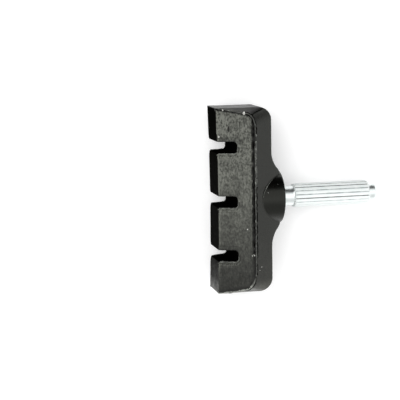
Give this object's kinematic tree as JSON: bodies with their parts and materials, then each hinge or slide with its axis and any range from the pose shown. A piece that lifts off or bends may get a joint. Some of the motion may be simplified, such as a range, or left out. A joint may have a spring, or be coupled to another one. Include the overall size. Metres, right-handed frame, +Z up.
{
  "type": "bicycle rim brake pad",
  "caption": "Post-mount rim brake pad: a slotted black rubber block with a sloped back and a round boss, moulded on a fluted steel stud that a brake arm clamps.",
  "frame": {"origin": "on the stud's axis, where its flutes reach their full diameter next to the neck", "axes": "+X from the braking face towards the stud's tip, level with the table, +Y along the pad's length, +Z up, with the pad lying on its side and the stud dipping to the table"},
  "size_m": [0.0467, 0.05, 0.0175],
  "materials": {
    "black_rubber": "matt moulded rubber with a pale bloom on the slotted sides",
    "plain_steel": "plain mild steel, bonded inside the rubber",
    "zinc_plate": "bright zinc plate"
  },
  "bodies": {
    "root": {"rubber_block": "black_rubber", "backing_plate": "plain_steel", "stud": "zinc_plate"}
  },
  "joints": []
}
